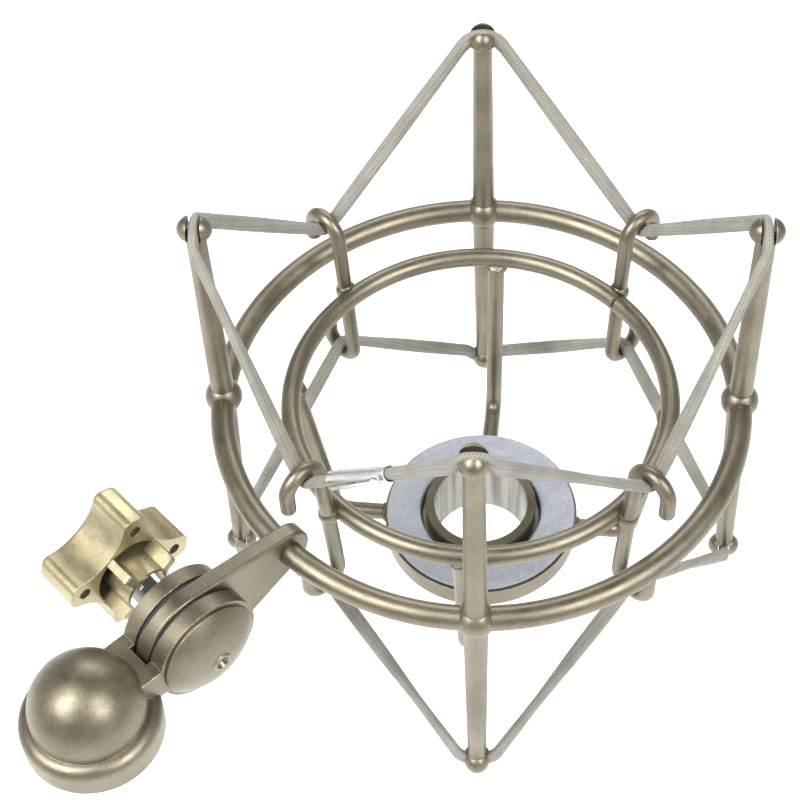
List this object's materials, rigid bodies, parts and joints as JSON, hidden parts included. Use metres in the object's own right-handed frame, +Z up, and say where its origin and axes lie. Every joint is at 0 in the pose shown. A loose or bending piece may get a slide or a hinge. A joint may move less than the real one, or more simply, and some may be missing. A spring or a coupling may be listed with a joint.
{
  "type": "microphone shock mount",
  "caption": "Metal spider shock mount: a cradle hung on elastic loops inside a round rod cage, with a tilting arm, star knob and domed stand adapter.",
  "frame": {"origin": "centre of the mouth of the stand thread, in the adapter's flat foot", "axes": "+Z up, along the stand and the microphone; the arm leads from the adapter towards +X and +Y at 45 degrees"},
  "size_m": [0.1759, 0.1759, 0.1323],
  "materials": {
    "champagne_paint": "satin champagne nickel paint over steel",
    "knob_paint": "satin champagne paint, a little warmer, on a casting",
    "sleeve_paint": "satin champagne paint outside, bare satin metal inside",
    "bolt_steel": "machined steel",
    "bright_chrome": "polished chrome plate",
    "black_fibre": "black fibre washer",
    "braided_elastic": "grey-beige braided elastic cord",
    "crimp_metal": "bright crimped metal",
    "grey_felt": "pale blue-grey pressed felt"
  },
  "bodies": {
    "adapter": {"stand_adapter": "champagne_paint", "friction_washers": "black_fibre", "domed_cap": "champagne_paint", "pivot_bolt": "bolt_steel"},
    "frame": {"swivel_arm": "champagne_paint", "ring_rod_back_right": "champagne_paint", "ring_rod_back_left": "champagne_paint", "ring_rod_front_left": "champagne_paint", "ring_rod_front_right": "champagne_paint", "ring_collar_right": "champagne_paint", "ring_collar_back": "champagne_paint", "ring_collar_left": "champagne_paint", "ring_collar_front": "champagne_paint", "upper_post_right": "champagne_paint", "upper_post_back": "champagne_paint", "upper_post_left": "champagne_paint", "upper_post_front": "champagne_paint", "lower_post_right": "champagne_paint", "lower_post_back": "champagne_paint", "lower_post_left": "champagne_paint", "lower_post_front": "champagne_paint", "upper_elastic": "braided_elastic", "lower_elastic": "braided_elastic", "upper_crimp": "crimp_metal", "lower_crimp": "crimp_metal"},
    "cradle": {"inner_ring": "champagne_paint", "hook_rod_back_right": "champagne_paint", "hook_rod_back_left": "champagne_paint", "hook_rod_front_left": "champagne_paint", "hook_rod_front_right": "champagne_paint", "support_rod_right": "champagne_paint", "support_rod_back": "champagne_paint", "support_rod_left": "champagne_paint", "support_rod_front": "champagne_paint", "seat_dish": "champagne_paint", "felt_ring": "grey_felt"},
    "sleeve": {"thread_sleeve": "sleeve_paint", "retaining_clip": "bolt_steel"},
    "clamp_collar": {"clamp_collar": "bright_chrome"},
    "knob": {"star_knob": "knob_paint"}
  },
  "joints": [
    {"name": "arm_tilt", "type": "hinge", "parent": "adapter", "child": "frame", "pos_m": [0.02107, 0.02107, 0.0106], "axis": [0.7071, -0.7071, 0], "range_deg": [-90, 90]},
    {"name": "cradle_bounce", "type": "slide", "parent": "frame", "child": "cradle", "axis": [0, 0, 1], "range_m": [-0.004, 0.006], "stiffness_N_per_m": 900, "springref_m": 0.0025, "deforming": ["upper_elastic", "lower_elastic", "upper_crimp", "lower_crimp"]},
    {"name": "sleeve_turn", "type": "hinge", "parent": "cradle", "child": "sleeve", "pos_m": [0.08804, 0.08804, -0.0409], "axis": [0, 0, 1], "continuous": true},
    {"name": "collar_slide", "type": "slide", "parent": "adapter", "child": "clamp_collar", "axis": [-0.7071, 0.7071, 0], "range_m": [0, 0.0016]},
    {"name": "knob_turn", "type": "hinge", "parent": "clamp_collar", "child": "knob", "pos_m": [0.00021, 0.04193, 0.0106], "axis": [-0.7071, 0.7071, 0], "range_deg": [0, 720]}
  ],
  "couplings": [
    {"joint": "collar_slide", "follows": "knob_turn", "m_per_rad": 0.00012732}
  ]
}
